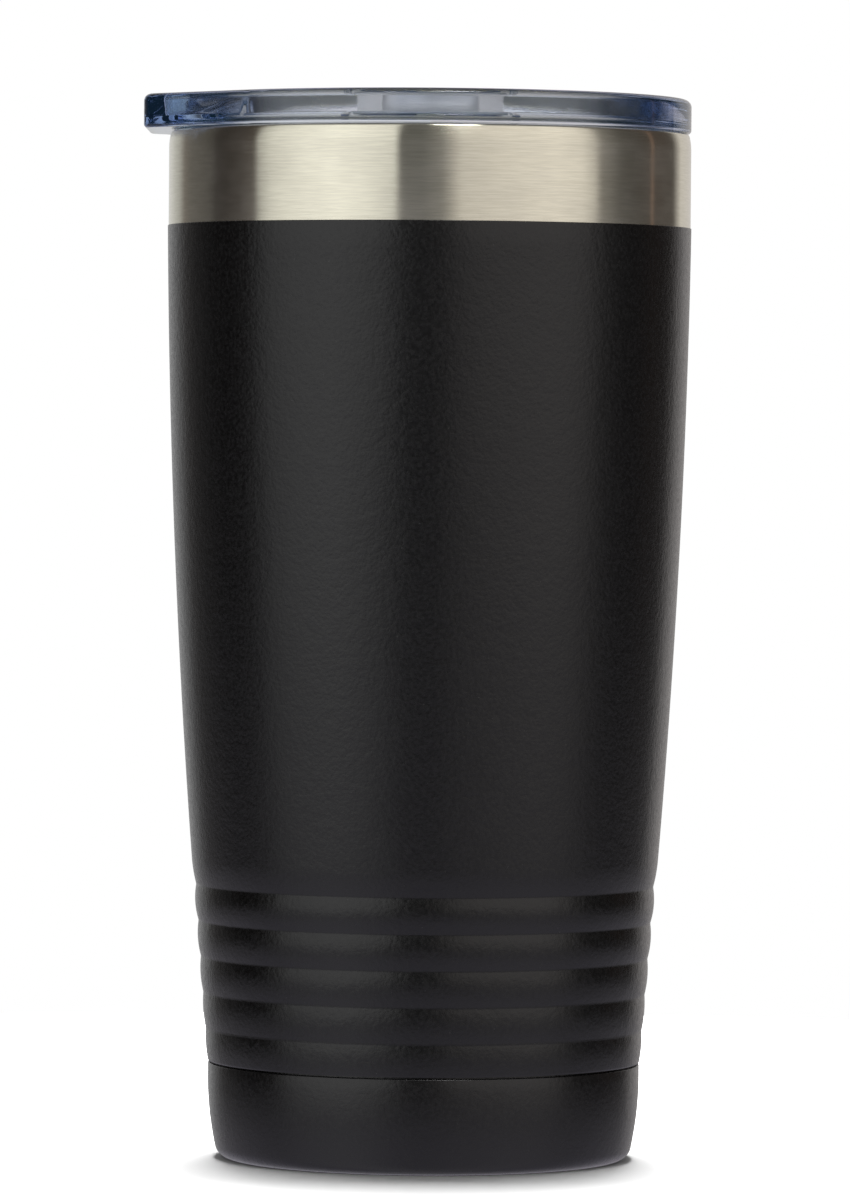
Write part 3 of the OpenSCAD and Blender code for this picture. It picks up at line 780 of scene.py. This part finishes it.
def build_world():
    """A studio fixed in the room: softboxes and dark gaps round it, a pale table below, one softbox above.

    Glossy and clear surfaces see all of it, matt ones an even fill, and the camera plain white.
    """
    world = bpy.data.worlds.new("studio")
    bpy.context.scene.world = world
    world.use_nodes = True
    tree = world.node_tree
    tree.nodes.clear()

    def node(kind, settings=None, **inputs):
        made = tree.nodes.new(kind)
        for key, value in (settings or {}).items():
            setattr(made, key, value)
        for key, value in inputs.items():
            socket = made.inputs[int(key[1:])]
            if isinstance(value, bpy.types.NodeSocket):
                tree.links.new(value, socket)
            else:
                socket.default_value = value
        return made

    def maths(operation, a, b=0.0):
        return node("ShaderNodeMath", {"operation": operation}, i0=a, i1=b).outputs[0]

    def fade(value, low, high, start=0.0, end=1.0):
        return node("ShaderNodeMapRange", {"interpolation_type": "SMOOTHSTEP"},
                    i0=value, i1=low, i2=high, i3=start, i4=end).outputs[0]

    def mix(factor, a, b, blend="MIX"):
        return node("ShaderNodeMix", {"data_type": "RGBA", "blend_type": blend},
                    i0=factor, i6=a, i7=b).outputs[2]

    def rise(limits):
        low, high = (math.sin(math.radians(degrees)) for degrees in limits)
        return fade(z, low, high)

    direction = node("ShaderNodeTexCoord").outputs["Generated"]
    x, y, z = node("ShaderNodeSeparateXYZ", i0=direction).outputs
    azimuth = maths("ARCTAN2", x, maths("MULTIPLY", y, -1.0))
    turn = maths("ADD", maths("DIVIDE", azimuth, 2 * math.pi), 0.5)

    def ring(lights):
        ramp = node("ShaderNodeValToRGB", i0=turn)
        stops = ramp.color_ramp.elements
        stops.remove(stops[0])
        for i, (degrees, level, warmth) in enumerate(lights):
            place = (degrees + 180) / 360
            stop = stops[0] if i == 0 else stops.new(place)
            stop.position = place
            warm = (1 + 0.2 * warmth, 1 - 0.3 * warmth, 1 - 0.5 * warmth)
            stop.color = tuple(level * share for share in warm) + (1,)
        return ramp.outputs[0]

    low = ring(LOW_STUDIO)
    glow = mix(rise(FAR_FADE), FAR_GLOW, NEAR_GLOW)
    under = mix(1.0, mix(1.0, low, (BELOW,) * 3 + (1,), "MULTIPLY"), glow, "ADD")
    low = mix(rise(GLOW_FADE), under, low)
    level = mix(rise(EYE_FADE), low, ring(STUDIO))
    roof = mix(rise(ROOF_FADE), level, (CEILING,) * 3 + (1,))
    a, e = math.radians(KEY_AZIMUTH), math.radians(KEY_HEIGHT)
    towards = (math.sin(a) * math.cos(e), -math.cos(a) * math.cos(e), math.sin(e))
    facing = node("ShaderNodeVectorMath", {"operation": "DOT_PRODUCT"}, i0=direction, i1=towards)
    key = fade(facing.outputs["Value"], math.cos(math.radians(KEY_SIZE)),
               math.cos(math.radians(KEY_SIZE * 0.8)))
    lit = mix(key, roof, (KEY_LEVEL,) * 3 + (1,))
    path = node("ShaderNodeLightPath")
    filled = mix(path.outputs["Is Diffuse Ray"], lit, (ROOM_FILL,) * 3 + (1,))
    colour = mix(path.outputs["Is Camera Ray"], filled, (1.0, 1.0, 1.0, 1))
    light = node("ShaderNodeBackground", i0=colour, i1=1.0)
    out = node("ShaderNodeOutputWorld")
    tree.links.new(light.outputs[0], out.inputs[0])


LAMP_SIZE = (0.40, 0.47)
LAMP_PLACE = (0, 0.19, 1.2)
LAMP_POWER = 50.0
TABLE_R = 0.32


def build_overhead():
    """A soft light above, seen only by matt surfaces: it whitens the table and draws the shadow."""
    data = bpy.data.lights.new("overhead", "AREA")
    data.shape = "RECTANGLE"
    data.size, data.size_y = LAMP_SIZE
    data.energy = LAMP_POWER
    lamp = bpy.data.objects.new("overhead", data)
    lamp.location = LAMP_PLACE
    lamp.visible_camera = lamp.visible_glossy = lamp.visible_transmission = False
    bpy.context.scene.collection.objects.link(lamp)


def build_floor():
    """A round pale table top, plain and wide enough for the shadow; the world's glow mirrors in its place."""
    bm = bmesh.new()
    bmesh.ops.create_circle(bm, cap_ends=True, segments=128, radius=TABLE_R)
    mesh = bpy.data.meshes.new("table")
    bm.to_mesh(mesh)
    bm.free()
    floor = bpy.data.objects.new("table", mesh)
    bpy.context.scene.collection.objects.link(floor)
    paper = Recipe("pale_paper", IOR=1.4)
    fibre = paper.noise(paper.place, scale=700, detail=4)
    tone = paper.mixed(fibre, (0.86, 0.86, 0.86, 1), (0.89, 0.89, 0.89, 1))
    dress(floor, paper.shade(Base_Color=tone, Roughness=0.7))
    floor.visible_diffuse = floor.visible_glossy = floor.visible_transmission = False


CAMERA_DISTANCE = 1.274
CAMERA_HEIGHT = 0.1185
CAMERA_ACROSS = -0.0003
CAMERA_DIP = math.radians(1.203)
CAMERA_ROLL = math.radians(0.43)
LENS_MM = 232.5


def build_camera():
    """Near the height of the cup's upper third, with a long lens and the slight turn of the view."""
    camera = bpy.data.objects.new("camera", bpy.data.cameras.new("camera"))
    bpy.context.scene.collection.objects.link(camera)
    camera.data.sensor_fit = "VERTICAL"
    camera.data.sensor_height = 36
    camera.data.lens = LENS_MM
    level = Matrix.Rotation(math.pi / 2 - CAMERA_DIP, 4, "X") @ Matrix.Rotation(CAMERA_ROLL, 4, "Z")
    place = Matrix.Translation((CAMERA_ACROSS, -CAMERA_DISTANCE, CAMERA_HEIGHT))
    camera.matrix_world = place @ level
    bpy.context.scene.camera = camera


# ---------------------------------------------------------------- assembly
STEEL = brushed_steel("steel_band", 0.17)
INSIDE_STEEL = brushed_steel("steel_inside", 0.30, 0.6)
COAT = powder_black("black_powder_coat", 0.25, 1.0, (0.001, 0.001, 0.0011, 1))
CAP = powder_black("black_cap_coat", 0.25, 0.7, (0.003, 0.0027, 0.003, 1))
# the lid's plastic carries painted shade at its sides and round its top edge
CLEAR = clear_plastic("clear_lid_plastic", 35.0, 0.06, shade_painter=painted_lid_shade)
CLEAR_SLIDER = clear_plastic("clear_slider_plastic", 10.0, 0.10, 0.30)

PIECES = [
    (build_shell, "outer_shell", "cup", STEEL, "steel"),
    (build_coat, "powder_coat", "cup", COAT, "black_coat"),
    (build_cap, "base_cap", "cup", CAP, "black_base"),
    (build_liner, "inner_liner", "cup", INSIDE_STEEL, "steel"),
    (build_liner_bottom, "inner_bottom", "cup", INSIDE_STEEL, "steel"),
    (build_lid, "lid_body", "lid", CLEAR, "clear_plastic"),
    (build_gasket, "lid_gasket", "seal", silicone("clear_silicone"), "silicone"),
    (build_slider, "slider", "drink_cover", CLEAR_SLIDER, "clear_slider"),
]
for build, node_name, body, material, slot in PIECES:
    piece = dress(build(), material)
    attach(piece, body)
    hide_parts(node_name)
    # the shell's neck below the seam gets painted shade
    if node_name == "outer_shell":
        paint_seam_shade(piece)

KEPT = {
    "foil_wrap": plain_metal("copper_foil", (0.80, 0.42, 0.28), 0.28, 260),
    "outer_bottom": plain_metal("bottom_sheet", (0.60, 0.58, 0.54), 0.34, 500),
    "getter": plain_metal("getter_alloy", (0.22, 0.21, 0.20), 0.6, 3000),
    "getter_clip": plain_metal("clip_sheet", (0.55, 0.53, 0.50), 0.32, 900),
    "port_seal": fused_glass("port_bead"),
}
for node_name, material in KEPT.items():
    dress(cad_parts[node_name], material)

build_world()
build_overhead()
build_floor()
build_camera()
bpy.context.scene.view_settings.view_transform = "Standard"
BOUNCES, GLOSSY_BOUNCES = 36, 12     # the clear lid passes light through many faces
light_paths = bpy.context.scene.cycles
light_paths.max_bounces = light_paths.transmission_bounces = BOUNCES
light_paths.glossy_bounces = GLOSSY_BOUNCES
